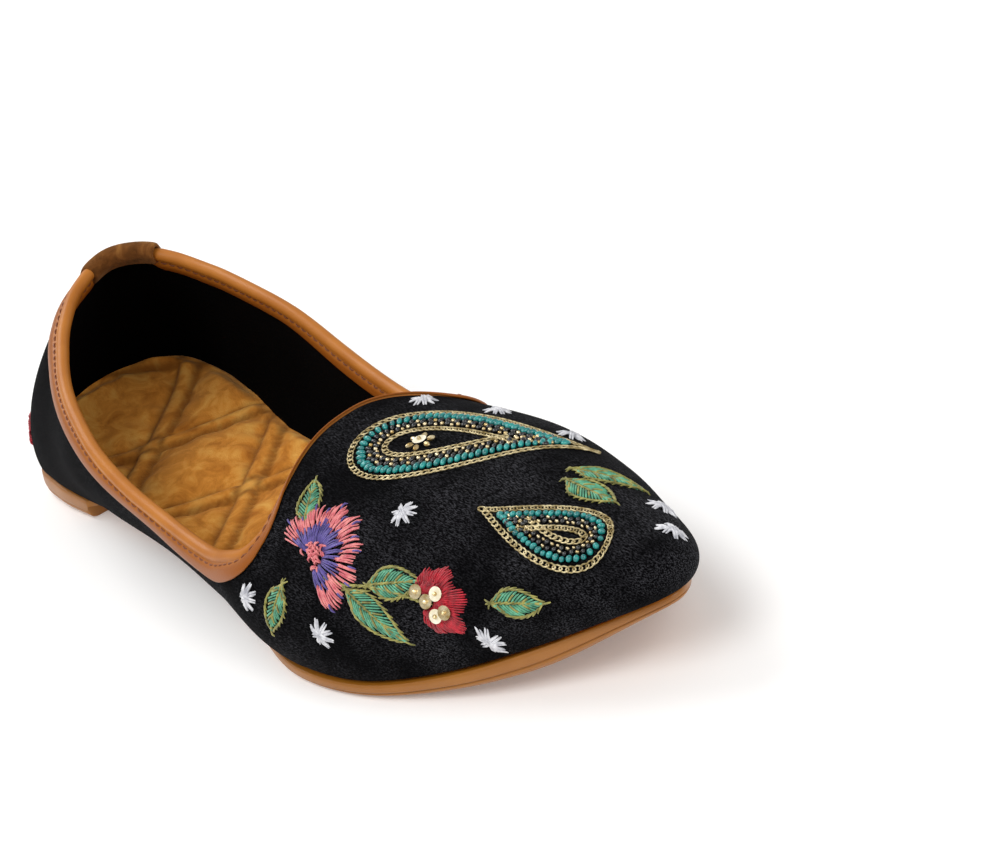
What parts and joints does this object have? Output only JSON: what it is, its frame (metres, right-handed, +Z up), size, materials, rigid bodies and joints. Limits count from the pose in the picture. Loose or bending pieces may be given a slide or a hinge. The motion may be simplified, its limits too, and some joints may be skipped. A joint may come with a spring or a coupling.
{
  "type": "embroidered velvet loafer",
  "caption": "Right slip-on loafer: black velvet upper with an almond toe, leather-bound collar, suede heel tab, padded suede footbed and thin rubber sole.",
  "frame": {"origin": "middle of the shoe's outline, on the plane that the sole stands on", "axes": "+X towards the toe, +Y towards the inner side of the foot, +Z up"},
  "size_m": [0.251, 0.0802, 0.0579],
  "materials": {
    "sole_rubber": "moulded tan rubber, satin",
    "black_velvet": "short cut pile, black, matt with a grazing sheen",
    "footbed_suede": "tan suede, quilted",
    "binding_leather": "smooth tan leather, semi-gloss",
    "tab_suede": "brown suede",
    "embroidery_thread": "coloured satin and metallic threads",
    "embroidery_bead": "glass beads and metallic sequins"
  },
  "bodies": {
    "root": {"outsole": "sole_rubber", "upper": "black_velvet", "insole": "footbed_suede", "collar_binding": "binding_leather", "heel_tab": "tab_suede"}
  },
  "joints": []
}
